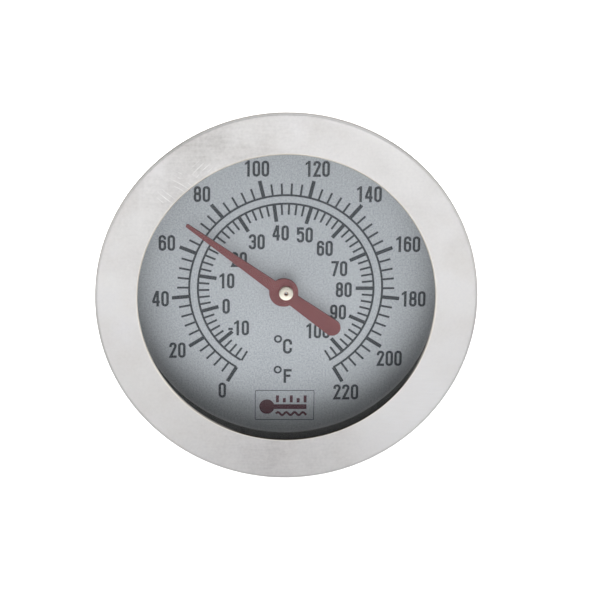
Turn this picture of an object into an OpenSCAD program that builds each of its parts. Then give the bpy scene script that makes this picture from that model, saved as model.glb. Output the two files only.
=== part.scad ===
// Dial thermometer for a brewing kettle: a bimetal coil in a probe turns a pointer over a 3 inch dial.
// Units are millimetres, +Z is up. The dial faces -Y and the probe runs along +Y.
// The origin is on the probe's axis, halfway along the bare stretch of thread that the kettle wall sits on.

/* [Bezel] */
// Outer diameter of the crimped ring
bezel_d = 78; // [76:0.5:80]
// Diameter of the opening that the dial is seen through
opening_d = 60.6; // [58:0.2:61]
// Thickness of the sheet the ring is pressed from
bezel_t = 0.6; // [0.5:0.1:0.8]
// Distance from the ring's front plane to its widest point
bezel_nose = 0.6; // [0.6:0.02:1.2]
// How far the crimped side draws in behind the widest point
crimp_draw = 1.6; // [1.3:0.1:1.8]

/* [Case] */
// Outer diameter of the drum behind the ring
drum_d = 66; // [65.6:0.1:66.4]
// Thickness of the drum's sheet
drum_t = 0.7; // [0.5:0.1:0.8]
// Depth from the ring's front plane to the back of the drum
case_depth = 16; // [15:0.5:22]
// Thickness of the glass
lens_t = 2; // [1.8:0.1:2.2]
// Distance from the ring's front plane down to the dial
dial_recess = 8.5; // [7.8:0.1:9]
// Thickness of the dial plate
dial_t = 0.5; // [0.4:0.1:0.8]

/* [Pointer] */
// Length of the blade from the shaft to its tip
tip_reach = 24.6; // [20:0.1:27]
// Distance from the shaft to the centre of the tail's round end
tail_reach = 12.6; // [9:0.1:15]
// Height of the pointer plate's front face above the dial
pointer_lift = 3.0; // [2.4:0.1:3.4]
// Temperature shown at rest, in degrees Fahrenheit
reading_f = 69.5; // [0:0.5:220]

/* [Fitting] */
// Width across flats of the fixed hexagon
hex_af = 27; // [24:0.5:30]
// Length of the fixed hexagon
hex_len = 9; // [6:0.5:12]
// Length of the tapered pipe thread
thread_len = 22; // [20:0.5:26]
// Crest diameter of the thread at the shoulder, for a half inch pipe
thread_d = 21.34; // [21.2:0.01:21.4]

/* [Probe] */
// Distance from the shoulder to the probe's tip
probe_len = 64; // [58:1:150]
// Outer diameter of the probe tube
probe_d = 6; // [6:0.1:6.4]
// Number of turns in the bimetal coil
coil_turns = 9; // [6:1:10]

/* [Nut and seal] */
// Width across flats of the lock nut
nut_af = 28; // [26:0.5:32]
// Length of the lock nut
nut_len = 7; // [5:0.5:8]
// Gap between the shoulder and the washer, for the seal and the kettle wall
clamp_gap = 12.6; // [10:0.2:13]

/* [Hidden] */
$fn = 96;
arc_steps = 8;
fit_gap = 0.02;
running_gap = 0.05;
loose_gap = 0.1;
cut = 1;

// Distance from the fixed hexagon's shoulder to the origin; every station along Y counts from the shoulder
origin_y = 7;

// Stations along Y, from the ring's front plane to the back of the drum
neck_len = 2;
case_back_y = -hex_len - neck_len;
front_y = case_back_y - case_depth;
lens_front_y = front_y + bezel_t;
lens_back_y = lens_front_y + lens_t;
gasket_t = 0.8;
flange_y = lens_back_y + gasket_t;
crimp_y = flange_y + drum_t;
dial_y = front_y + dial_recess;
case_floor_y = case_back_y - drum_t;

// Radii of the ring, the case and the glass
bezel_r = bezel_d / 2;
opening_r = opening_d / 2;
hem_r = 0.5;
lip_inner_r = 34.4;
drum_r = drum_d / 2;
drum_bore_r = drum_r - drum_t;
drum_corner_r = 1.6;
flange_r = 36.3;
lens_r = 35.6;
gasket_wrap = 0.7;
gasket_reach = 1.4;
spacer_t = 0.5;
dial_r = drum_bore_r - 0.2;
dial_hole_r = 1;
carrier_t = 0.6;
carrier_foot_r = drum_bore_r - (drum_corner_r - drum_t) - fit_gap;
carrier_hole_r = 5;

// Pointer: its plate sits a little off the shaft and its blade off its eye, so it leans to bring
// the tip onto the reading
scale_sweep = 299;
scale_span_f = 220;
deg_per_f = scale_sweep / scale_span_f;
rest_turn = 180 + (reading_f - scale_span_f / 2) * deg_per_f;
pointer_t = 0.5;
blade_root_w = 2.5;
blade_tip_w = 0.75;
tail_root_w = 2.4;
tail_end_r = 1.72;
eye_r = 3.0;
plate_shift = [0.38, -0.3];
blade_offset = -0.16;
lean = asin(-(plate_shift[1] + blade_offset) / tip_reach);
bush_r = 1.46;
bush_top = 3.8;
bush_foot = 1.2;
bush_collar_r = 0.95;
bush_hole_r = 0.34;
bush_hole_deep = 0.3;
bush_edge = 0.18;

// Movement inside the probe
shaft_r = 0.6;
bearing_r = shaft_r + running_gap;
tube_r = probe_d / 2;
tube_t = 0.4;
tube_bore_r = tube_r - tube_t;
tube_top_y = case_floor_y - 1.2;
tip_len = 2;
plug_len = 1.2;
anchor_len = 3;
anchor_y = probe_len - tip_len - plug_len - anchor_len - 0.4;
coil_pitch = 3;
coil_strip = 2.6;
coil_r = 2.2;
coil_t = 0.3;
coil_len = coil_turns * coil_pitch;
coil_y = anchor_y + 1.6 - coil_len;
coil_steps = 12;
section_steps = 7;
coil_chord = cos(180 * coil_strip / coil_pitch / section_steps);
collar_r = (coil_r - coil_t) * coil_chord - running_gap;
collar_len = 2.4;
lower_bearing_len = 3;
lower_bearing_y = coil_y - lower_bearing_len - 1;
upper_bearing_len = 4;
bearing_flange_r = 3.6;
bearing_flange_t = 0.6;

// Fitting, seal, washer and nut
pipe_pitch = 25.4 / 14;
taper = 1 / 32;
thread_depth = 1.3;
crest_w = 0.24;
root_w = 0.3;
thread_r = thread_d / 2;
relief_len = 3.4;
ridges = floor((thread_len - relief_len) / pipe_pitch);
neck_r = 8;
rivet_r = 9.4;
rivet_t = 0.9;
chamfer = 1.1;
seal_wire_r = 1.5;
seal_centre_r = thread_r + seal_wire_r + loose_gap;
washer_t = 1.5;
washer_r = 16;
nut_bore_r = thread_r + 0.23;
washer_bore_r = thread_r + 0.33;

// Turns a shape built about Z so that its axis lies along Y, starting at a station
module along_y(y = 0) {
    translate([0, y - origin_y, 0]) rotate([-90, 0, 0]) children();
}

// Revolves an outline given as [radius, y] points
module revolve(outline) {
    along_y() rotate_extrude() polygon(outline);
}

// A plain ring between two radii, from station y0 to station y1
module ring(r_in, r_out, y0, y1) {
    along_y(y0) difference() {
        cylinder(h = y1 - y0, r = r_out);
        translate([0, 0, -cut]) cylinder(h = y1 - y0 + 2 * cut, r = r_in);
    }
}

// Points on an arc about a centre, from angle a to angle b
function arc(centre, r, a, b) = [
    for (i = [0 : arc_steps])
        let (t = a + (b - a) * i / arc_steps)
        [centre[0] + r * cos(t), centre[1] + r * sin(t)]
];

// A hexagonal prism with both ends chamfered, from station y0
module hexagon(af, len, y0) {
    corner_r = af / sqrt(3);
    along_y(y0) intersection() {
        cylinder(h = len, r = corner_r, $fn = 6);
        rotate_extrude() polygon([
            [0, 0],
            [corner_r - chamfer, 0],
            [corner_r, chamfer * 0.577],
            [corner_r, len - chamfer * 0.577],
            [corner_r - chamfer, len],
            [0, len]
        ]);
    }
}

// Front ring: a flat face, a rounded nose, a side that draws in, and a lip crimped behind the case
module bezel_ring() {
    nose = [bezel_r - bezel_nose, front_y + bezel_nose];
    tail = [bezel_r - crimp_draw - bezel_nose, crimp_y];
    hem = [opening_r + hem_r, front_y + hem_r];
    bend = min(bezel_t, bezel_nose) - 0.1;
    color("gainsboro") revolve(concat(
        arc(hem, hem_r, 180, 270),
        arc(nose, bezel_nose, -90, 0),
        arc(tail, bezel_t + 0.1, 0, 90),
        [[lip_inner_r, crimp_y + bezel_t + 0.1], [lip_inner_r, crimp_y + 0.1]],
        arc(tail, 0.1, 90, 0),
        arc(nose, bezel_nose - bend, 0, -90),
        [[opening_r, lens_front_y]]
    ));
}

// Flat round glass
module lens() {
    color([0.8, 0.9, 0.95, 0.35]) along_y(lens_front_y) cylinder(h = lens_t, r = lens_r);
}

// Rubber ring of L section: it seals the back of the glass and centres its edge
module lens_gasket() {
    color("dimgray") revolve([
        [lens_r - gasket_reach, lens_back_y],
        [lens_r + fit_gap, lens_back_y],
        [lens_r + fit_gap, lens_front_y + 0.3],
        [lens_r + gasket_wrap, lens_front_y + 0.3],
        [lens_r + gasket_wrap, flange_y],
        [lens_r - gasket_reach, flange_y]
    ]);
}

// Black sleeve that holds the dial plate away from the glass
module spacer_ring() {
    color([0.15, 0.15, 0.15]) ring(dial_r - spacer_t, dial_r, lens_back_y, dial_y);
}

// Printed dial plate with a hole for the shaft
module dial_plate() {
    color("darkgray") ring(dial_hole_r, dial_r, dial_y, dial_y + dial_t);
}

// Pressed tray that carries the dial plate; its wall stands on the flat of the case floor
module dial_carrier() {
    top = dial_y + dial_t;
    color("silver") revolve([
        [carrier_hole_r, top],
        [dial_r, top],
        [dial_r, top + carrier_t],
        [carrier_foot_r, top + carrier_t],
        [carrier_foot_r, case_floor_y],
        [carrier_foot_r - carrier_t, case_floor_y],
        [carrier_foot_r - carrier_t, top + carrier_t],
        [carrier_hole_r, top + carrier_t]
    ]);
}

// Drawn cup: a flange at the mouth, a drum, and a floor with a hole for the fitting's neck
module case_cup() {
    outer_bend = [drum_r - drum_corner_r, case_back_y - drum_corner_r];
    inner_bend_r = drum_corner_r - drum_t;
    color("lightgray") revolve(concat(
        [[drum_bore_r, flange_y], [flange_r, flange_y], [flange_r, crimp_y], [drum_r, crimp_y]],
        arc(outer_bend, drum_corner_r, 0, 90),
        [[neck_r + fit_gap, case_back_y], [neck_r + fit_gap, case_floor_y]],
        arc(outer_bend, inner_bend_r, 90, 0)
    ));
}

// Pointer in its own plane: +X runs to the tip, and the shaft is at the origin
module pointer_outline() {
    tip_r = blade_tip_w / 2;
    difference() {
        translate(plate_shift) union() {
            circle(r = eye_r);
            translate([0, blade_offset]) polygon(concat(
                arc([tip_reach - tip_r, 0], tip_r, -90, 90),
                [[0, blade_root_w / 2], [0, tail_root_w / 2]],
                arc([-tail_reach, 0], tail_end_r, 90, 270),
                [[0, -tail_root_w / 2], [0, -blade_root_w / 2]]
            ));
        }
        circle(r = bush_collar_r + fit_gap);
    }
}

// Red pointer plate, turned to the temperature it shows at rest
module pointer() {
    color("firebrick") along_y(dial_y - pointer_lift) rotate([0, 0, rest_turn + 90 + lean])
        linear_extrude(height = pointer_t) pointer_outline();
}

// Stepped metal bush: a cap in front of the plate and a collar through it
module pointer_bush() {
    top = dial_y - bush_top;
    plate_y = dial_y - pointer_lift;
    foot = plate_y + pointer_t + bush_foot;
    color("wheat") revolve([
        [bush_hole_r, top],
        [bush_r - bush_edge, top],
        [bush_r, top + bush_edge],
        [bush_r, plate_y],
        [bush_collar_r, plate_y],
        [bush_collar_r, foot],
        [shaft_r + fit_gap, foot],
        [shaft_r + fit_gap, top + bush_hole_deep + 0.2],
        [bush_hole_r, top + bush_hole_deep]
    ]);
}

// Long thin shaft from the pointer's bush down to the coil
module pointer_shaft() {
    top = dial_y - bush_top + bush_hole_deep + 0.3;
    shaft_end = coil_y + collar_len + 0.6;
    color("silver") along_y(top) cylinder(h = shaft_end - top, r = shaft_r);
}

// Flanged bush in the mouth of the tube
module upper_bearing() {
    flange_top = tube_top_y - bearing_flange_t;
    plug_r = tube_bore_r - fit_gap;
    color("goldenrod") revolve([
        [bearing_r, flange_top],
        [bearing_flange_r, flange_top],
        [bearing_flange_r, tube_top_y],
        [plug_r, tube_top_y],
        [plug_r, tube_top_y + upper_bearing_len],
        [bearing_r, tube_top_y + upper_bearing_len]
    ]);
}

// Plain bush in the tube, just above the coil
module lower_bearing() {
    bush_end = lower_bearing_y + lower_bearing_len;
    color("goldenrod") ring(bearing_r, tube_bore_r - fit_gap, lower_bearing_y, bush_end);
}

// Collar fixed to the shaft, inside the coil's first turn
module coil_collar() {
    color("silver") ring(shaft_r + fit_gap, collar_r, coil_y + 0.2, coil_y + 0.2 + collar_len);
}

// Bimetal strip wound into a helix: a C section swept round as it rises
module bimetal_coil() {
    span = 360 * coil_strip / coil_pitch;
    inner_r = coil_r - coil_t;
    outer = [for (i = [0 : section_steps]) let (a = span * i / section_steps) coil_r * [cos(a), sin(a)]];
    inner = [for (i = [section_steps : -1 : 0]) let (a = span * i / section_steps) inner_r * [cos(a), sin(a)]];
    color("peru") along_y(coil_y)
        linear_extrude(height = coil_len, twist = -360 * coil_turns, slices = coil_turns * coil_steps, $fn = 0)
        polygon(concat(outer, inner));
}

// Stepped anchor at the far end, which the coil's last turn is fixed round
module coil_anchor() {
    spigot_end = coil_y + coil_len;
    anchor_end = anchor_y + anchor_len;
    color("goldenrod") revolve([
        [0, anchor_y],
        [collar_r, anchor_y],
        [collar_r, spigot_end + loose_gap],
        [tube_bore_r - fit_gap, spigot_end + loose_gap],
        [tube_bore_r - fit_gap, anchor_end],
        [0, anchor_end]
    ]);
}

// Thin steel tube of the probe
module probe_tube() {
    color("lightgray") ring(tube_bore_r, tube_r, tube_top_y, probe_len - tip_len);
}

// Domed end with a plug that closes the tube
module probe_tip() {
    base = probe_len - tip_len;
    bend = tip_len - 0.2;
    plug_r = tube_bore_r - fit_gap;
    color("lightgray") revolve(concat(
        [[0, base - plug_len], [plug_r, base - plug_len], [plug_r, base], [tube_r, base]],
        arc([tube_r - bend, probe_len - bend], bend, 0, 90),
        [[0, probe_len]]
    ));
}

// Outline of the tapered pipe thread, as ridges with flat crests from the shoulder to the end
function crest_r(y) = thread_r - y * taper;
function ridge_y(i) = relief_len + (i + 0.5) * pipe_pitch;
function thread_points() = [
    for (i = [0 : ridges - 1])
        for (p = [
            [-(pipe_pitch - root_w) / 2, thread_depth],
            [-crest_w / 2, 0],
            [crest_w / 2, 0],
            [(pipe_pitch - root_w) / 2, thread_depth]
        ])
        [crest_r(ridge_y(i)) - p[1], ridge_y(i) + p[0]]
];

// Fixed hexagon with its neck riveted through the case floor, and the threaded spigot
module threaded_fitting() {
    root_end = crest_r(thread_len) - thread_depth;
    root_start = thread_r - thread_depth;
    bore_r = tube_r + fit_gap;
    color("silver") union() {
        difference() {
            hexagon(hex_af, hex_len, -hex_len);
            along_y(-hex_len - cut) cylinder(h = hex_len + 2 * cut, r = bore_r);
        }
        ring(bore_r, neck_r, case_floor_y, -hex_len + cut);
        ring(bore_r, rivet_r, case_floor_y - rivet_t, case_floor_y);
        revolve(concat(
            [[bore_r, -cut], [root_start, -cut], [root_start, relief_len]],
            thread_points(),
            [[root_end, thread_len - 0.5], [root_end - 0.5, thread_len], [bore_r, thread_len]]
        ));
    }
}

// Silicone seal seated against the shoulder
module seal_ring() {
    color("orangered") along_y(seal_wire_r) rotate_extrude()
        translate([seal_centre_r, 0]) circle(r = seal_wire_r, $fn = 48);
}

// Flat washer between the kettle wall and the nut
module flat_washer() {
    color("gainsboro") ring(washer_bore_r, washer_r, clamp_gap, clamp_gap + washer_t);
}

// Hexagonal lock nut, bored clear of the thread's crests
module lock_nut() {
    nut_y = clamp_gap + washer_t;
    color("silver") difference() {
        hexagon(nut_af, nut_len, nut_y);
        along_y(nut_y - cut) cylinder(h = nut_len + 2 * cut, r = nut_bore_r);
    }
}

bezel_ring();
lens();
lens_gasket();
spacer_ring();
dial_plate();
dial_carrier();
case_cup();
pointer();
pointer_bush();
pointer_shaft();
upper_bearing();
lower_bearing();
coil_collar();
bimetal_coil();
coil_anchor();
probe_tube();
probe_tip();
threaded_fitting();
seal_ring();
flat_washer();
lock_nut();
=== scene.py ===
import math

import bmesh
import bpy
from mathutils import Matrix, Vector, geometry


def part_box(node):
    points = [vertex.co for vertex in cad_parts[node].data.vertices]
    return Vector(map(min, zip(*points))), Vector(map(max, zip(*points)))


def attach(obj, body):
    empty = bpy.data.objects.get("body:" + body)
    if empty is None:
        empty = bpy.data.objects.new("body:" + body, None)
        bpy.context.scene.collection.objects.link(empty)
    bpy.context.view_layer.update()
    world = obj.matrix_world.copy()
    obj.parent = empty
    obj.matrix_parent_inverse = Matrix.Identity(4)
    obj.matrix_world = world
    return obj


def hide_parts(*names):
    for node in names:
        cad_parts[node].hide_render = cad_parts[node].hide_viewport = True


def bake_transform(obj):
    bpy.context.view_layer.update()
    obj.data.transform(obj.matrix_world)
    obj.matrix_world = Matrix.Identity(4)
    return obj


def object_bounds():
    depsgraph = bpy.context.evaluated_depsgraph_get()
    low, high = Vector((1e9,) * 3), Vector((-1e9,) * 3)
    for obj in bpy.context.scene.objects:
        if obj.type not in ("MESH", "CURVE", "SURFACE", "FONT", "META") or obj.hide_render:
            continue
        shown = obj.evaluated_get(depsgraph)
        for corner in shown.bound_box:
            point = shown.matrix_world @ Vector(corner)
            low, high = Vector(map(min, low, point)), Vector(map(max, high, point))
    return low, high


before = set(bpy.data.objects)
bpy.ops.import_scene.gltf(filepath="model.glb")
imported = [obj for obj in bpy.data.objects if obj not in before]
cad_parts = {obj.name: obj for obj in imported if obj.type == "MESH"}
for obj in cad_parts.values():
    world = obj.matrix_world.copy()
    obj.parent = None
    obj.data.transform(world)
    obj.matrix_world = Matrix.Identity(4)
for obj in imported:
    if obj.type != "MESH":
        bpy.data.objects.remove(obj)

CAD_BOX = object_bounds()
MM = 0.001
TAU = 2 * math.pi
# Faces round a large revolved piece, and round one on the pointer's or the probe's scale
ROUND_STEPS = 240
FINE_ROUND_STEPS = 96
# Edges sharper than this keep a hard line; a thread's edges need a lower limit
SHARP_ANGLE = math.radians(38)
THREAD_SHARP_ANGLE = math.radians(30)


# ---------------- sizes taken from the frame

def reach(node):
    """(front y, back y, outer radius) of a CAD node, in mm."""
    low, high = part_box(node)
    return low.y / MM, high.y / MM, high.x / MM


def bore(node, behind=-math.inf):
    """Smallest distance of a CAD node's surface from the Y axis, in mm, looking only behind a y in mm."""
    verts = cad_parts[node].data.vertices
    return min(math.hypot(v.co.x, v.co.z) for v in verts if v.co.y / MM > behind) / MM


BEZEL_Y0, BEZEL_Y1, BEZEL_R = reach("bezel_ring")
OPENING_R = bore("bezel_ring")
LENS_Y0, LENS_Y1, LENS_R = reach("lens")
FLANGE_Y, CASE_BACK_Y, FLANGE_R = reach("case_cup")
DIAL_Y, DIAL_BACK_Y, DIAL_R = reach("dial_plate")
POINTER_Y, POINTER_BACK_Y, _ = reach("pointer")
BUSH_Y, BUSH_FOOT_Y, BUSH_R = reach("pointer_bush")
WALL_R = bore("spacer_ring")
SHOULDER_Y = reach("seal_ring")[0]
# Sheet thicknesses of the ring and the case, and the gap round the dial in the drum
SHEET = LENS_Y0 - BEZEL_Y0
CASE_SHEET = 0.7
DIAL_CLEARANCE = 0.2
FLANGE_BACK_Y = FLANGE_Y + CASE_SHEET
FLOOR_Y = CASE_BACK_Y - CASE_SHEET
DRUM_R = DIAL_R + DIAL_CLEARANCE + CASE_SHEET
HEX_LENGTH = 9.0
PIPE_PITCH = 25.4 / 14


# ---------------- mesh helpers

def outline(*corners):
    """Outline through (radius, y) or (radius, y, fillet) corners, with filleted corners as arcs."""
    degrees_per_step = 11
    points = []
    count = len(corners)
    for i, corner in enumerate(corners):
        here = Vector(corner[:2])
        fillet = corner[2] if len(corner) > 2 else 0
        if not fillet:
            points.append(tuple(here))
            continue
        before = (Vector(corners[i - 1][:2]) - here).normalized()
        after = (Vector(corners[(i + 1) % count][:2]) - here).normalized()
        half = before.angle(after) / 2
        centre = here + (before + after).normalized() * (fillet / math.sin(half))
        start = here + before * (fillet / math.tan(half)) - centre
        turn = start.angle_signed(here + after * (fillet / math.tan(half)) - centre)
        steps = max(3, round(math.degrees(abs(turn)) / degrees_per_step))
        for k in range(steps + 1):
            a = -turn * k / steps
            points.append((centre.x + start.x * math.cos(a) - start.y * math.sin(a),
                           centre.y + start.x * math.sin(a) + start.y * math.cos(a)))
    return points


def solid(name, verts, faces, sharp=SHARP_ANGLE):
    """Object from millimetre corners: doubles merged, normals outward, smooth except at sharp edges."""
    # Distances in metres under which corners are joined and slivers dissolved
    join, sliver = 2e-7, 1e-7
    mesh = bpy.data.meshes.new(name)
    mesh.from_pydata([Vector(v) * MM for v in verts], [], faces)
    bm = bmesh.new()
    bm.from_mesh(mesh)
    bmesh.ops.remove_doubles(bm, verts=bm.verts, dist=join)
    bmesh.ops.dissolve_degenerate(bm, edges=bm.edges, dist=sliver)
    bmesh.ops.recalc_face_normals(bm, faces=bm.faces)
    bm.to_mesh(mesh)
    bm.free()
    for face in mesh.polygons:
        face.use_smooth = True
    mesh.set_sharp_from_angle(angle=sharp)
    piece = bpy.data.objects.new(name, mesh)
    bpy.context.scene.collection.objects.link(piece)
    shading = piece.modifiers.new("even_shading", "WEIGHTED_NORMAL")
    shading.keep_sharp = True
    return piece


def even_angles(steps=ROUND_STEPS):
    """Angles in radians, evenly spaced round a circle."""
    return [TAU * i / steps for i in range(steps)]


def revolved(name, section, angles=None, sharp=SHARP_ANGLE):
    """Solid swept round the Y axis. section is an outline, or a function from angle to outline."""
    angles = angles or even_angles()
    rows = [section(a) if callable(section) else section for a in angles]
    wide = len(rows[0])
    verts = [(r * math.cos(a), y, r * math.sin(a)) for a, row in zip(angles, rows) for r, y in row]
    faces = []
    for i in range(len(angles)):
        j = (i + 1) % len(angles)
        for k in range(wide):
            m = (k + 1) % wide
            faces.append((i * wide + k, j * wide + k, j * wide + m, i * wide + m))
    return solid(name, verts, faces, sharp)


def flat_solid(name, shapes, y_front, y_back, hole_r=0):
    """Thin solid whose face is the union of flat shapes, each a list of (x, z) corners."""
    corners, loops = [], []
    for shape in shapes:
        area = sum(a[0] * b[1] - b[0] * a[1] for a, b in zip(shape, shape[1:] + shape[:1]))
        ordered = shape if area > 0 else shape[::-1]
        loops.append(list(range(len(corners), len(corners) + len(ordered))))
        corners += [Vector(p) for p in ordered]
    points, _, faces_made, _, _, owners = geometry.delaunay_2d_cdt(corners, [], loops, 0, 1e-5)
    triangles = [face for face, owner in zip(faces_made, owners) if owner]
    if hole_r:
        middle = {t: sum((points[i] for i in t), Vector((0, 0))) / 3 for t in map(tuple, triangles)}
        triangles = [t for t, centre in middle.items() if centre.length > hole_r]
    count = len(points)
    verts = [(p.x, y, p.y) for y in (y_front, y_back) for p in points]
    faces = [tuple(t) for t in triangles] + [tuple(i + count for i in reversed(t)) for t in triangles]
    # A side wall along each edge that has a triangle on one side only
    edges = dict.fromkeys((a, b) for t in triangles for a, b in zip(t, (*t[1:], t[0])))
    for a, b in edges:
        if (b, a) not in edges:
            faces.append((b, a, a + count, b + count))
    return solid(name, verts, faces)


def round_points(centre, radius, start, stop, step=12):
    """Points on an arc in the dial's plane; angles in degrees, counter-clockwise from +X."""
    steps = max(2, round(abs(stop - start) / step))
    angles = [math.radians(start + (stop - start) * k / steps) for k in range(steps + 1)]
    return [(centre[0] + radius * math.cos(a), centre[1] + radius * math.sin(a)) for a in angles]


def stroke(points, width, closed=False):
    """Flat quads that follow a path at an even width, mitred where it turns."""
    tightest_mitre = 0.35
    path = [Vector(p) for p in points]
    count = len(path)
    sides = []
    for i, p in enumerate(path):
        ahead = path[(i + 1) % count] - p if closed or i < count - 1 else p - path[i - 1]
        behind = p - path[i - 1] if closed or i > 0 else ahead
        ahead.normalize()
        behind.normalize()
        mean = (ahead + behind).normalized()
        normal = Vector((-mean.y, mean.x))
        push = width / 2 / max(tightest_mitre, normal.dot(Vector((-ahead.y, ahead.x))))
        sides.append((p + normal * push, p - normal * push))
    quads = []
    for i in range(count if closed else count - 1):
        (a, b), (c, d) = sides[i], sides[(i + 1) % count]
        quads.append([tuple(a), tuple(c), tuple(d), tuple(b)])
    return quads


# ---------------- material helpers

class Look:
    """A node-based material. Each method adds a few nodes and returns a socket to use further."""

    def __init__(self, name, metallic=0.0):
        self.material = bpy.data.materials.new(name)
        self.material.use_nodes = True
        self.tree = self.material.node_tree
        self.surface = self.tree.nodes["Principled BSDF"]
        self.output = self.tree.nodes["Material Output"]
        self.surface.inputs["Metallic"].default_value = metallic
        self.place = self.node("ShaderNodeTexCoord").outputs["Object"]

    def node(self, kind, **values):
        """A node; each value is an input's number or socket, or, if no input has the name, a property."""
        made = self.tree.nodes.new(kind)
        for key, value in values.items():
            name = key.replace("_", " ")
            if name in made.inputs:
                self.put(made.inputs[name], value)
            else:
                setattr(made, key, value)
        return made

    def put(self, socket, value):
        """Links an output to an input, or sets the input's number."""
        if isinstance(value, bpy.types.NodeSocket):
            self.tree.links.new(value, socket)
        else:
            socket.default_value = value

    def math(self, operation, *values):
        """Result of a maths node."""
        made = self.node("ShaderNodeMath", operation=operation)
        for socket, value in zip(made.inputs, values):
            self.put(socket, value)
        return made.outputs[0]

    def stretched(self, x, y, z, turn=0.0):
        """The piece's own coordinates scaled by axis, to draw a grain out."""
        made = self.node("ShaderNodeMapping", Vector=self.place)
        made.inputs["Scale"].default_value = (x, y, z)
        made.inputs["Rotation"].default_value = (0, turn, 0)
        return made.outputs[0]

    def from_axis(self):
        """Distance from the Y axis, in metres."""
        parts = self.node("ShaderNodeSeparateXYZ", Vector=self.place).outputs
        across, up = (self.math("MULTIPLY", part, part) for part in (parts[0], parts[2]))
        return self.math("SQRT", self.math("ADD", across, up))

    def turned(self, radial, along, lengthwise):
        """Coordinates for a lathe-turned grain round the Y axis."""
        parts = self.node("ShaderNodeSeparateXYZ", Vector=self.place).outputs
        far = self.from_axis()
        angle = self.math("ARCTAN2", parts[2], parts[0])
        made = self.node("ShaderNodeCombineXYZ")
        self.put(made.inputs[0], self.math("MULTIPLY", far, radial))
        self.put(made.inputs[1], self.math("MULTIPLY", angle, along))
        self.put(made.inputs[2], self.math("MULTIPLY", parts[1], lengthwise))
        return made.outputs[0]

    def noise(self, scale, detail=3.0, where=None):
        """Noise between 0 and 1; its scale counts features in a metre."""
        made = self.node("ShaderNodeTexNoise", Vector=where or self.place, Scale=scale, Detail=detail,
                         Roughness=0.55)
        return made.outputs[0]

    def span(self, value, low, high, from_low=0.3, from_high=0.7):
        """Maps a value onto low to high, and holds it at the ends."""
        made = self.node("ShaderNodeMapRange", Value=value)
        ends = {"From Min": from_low, "From Max": from_high, "To Min": low, "To Max": high}
        for name, number in ends.items():
            made.inputs[name].default_value = number
        return made.outputs[0]

    def ramp(self, value, low, high, from_low, from_high):
        """Like span, with the value's range given in mm."""
        return self.span(value, low, high, from_low * MM, from_high * MM)

    def near(self, centre, radius):
        """1 at an (x, z) place on the front face, falling to 0 at a radius, in mm."""
        made = self.node("ShaderNodeVectorMath", operation="DISTANCE")
        self.put(made.inputs[0], self.place)
        made.inputs[1].default_value = (centre[0] * MM, BEZEL_Y0 * MM, centre[1] * MM)
        return self.ramp(made.outputs["Value"], 1, 0, 0, radius)

    def scratches(self, centre, radius, turn):
        """A few fine curved parallel scratches about a place on the front face."""
        waves = self.node("ShaderNodeTexWave", Vector=self.stretched(1, 1, 1, turn), Scale=320.0,
                          Distortion=1.2, Detail=1.0)
        line = self.span(waves.outputs["Fac"], 0, 1, 0.93, 1.0)
        broken = self.span(self.noise(420, 2), 0, 1, 0.45, 0.55)
        return self.math("MULTIPLY", self.math("MULTIPLY", line, broken), self.near(centre, radius))

    def blend(self, factor, first, second):
        """Mixes two colours by a factor."""
        made = self.node("ShaderNodeMix", data_type="RGBA")
        self.put(made.inputs[0], factor)
        for socket, value in zip((made.inputs[6], made.inputs[7]), (first, second)):
            self.put(socket, (*value, 1) if isinstance(value, tuple) and len(value) == 3 else value)
        return made.outputs[2]

    def color(self, value):
        """Sets the base colour."""
        self.put(self.surface.inputs["Base Color"], value)

    def rough(self, value):
        """Sets the roughness."""
        self.put(self.surface.inputs["Roughness"], value)

    def bump(self, height, strength, depth):
        """Adds relief of a depth in mm; calls stack."""
        made = self.node("ShaderNodeBump", Height=height, Strength=strength, Distance=depth * MM)
        before = self.surface.inputs["Normal"]
        if before.is_linked:
            self.put(made.inputs["Normal"], before.links[0].from_socket)
        self.put(before, made.outputs[0])


def dress(piece, look):
    """Gives a piece one material."""
    piece.data.materials.clear()
    piece.data.materials.append(look.material)
    return piece


def dress_node(name, look):
    """Gives a carried-over CAD node one material."""
    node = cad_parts[name]
    for slot in node.material_slots:
        slot.material = look.material


def settle(piece, body, look, slot, *nodes):
    """Finishes a piece: its material, its body and the CAD nodes it stands for. The slot is not used."""
    dress(piece, look)
    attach(piece, body)
    if nodes:
        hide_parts(*nodes)
    return piece


# ---------------- materials

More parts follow.
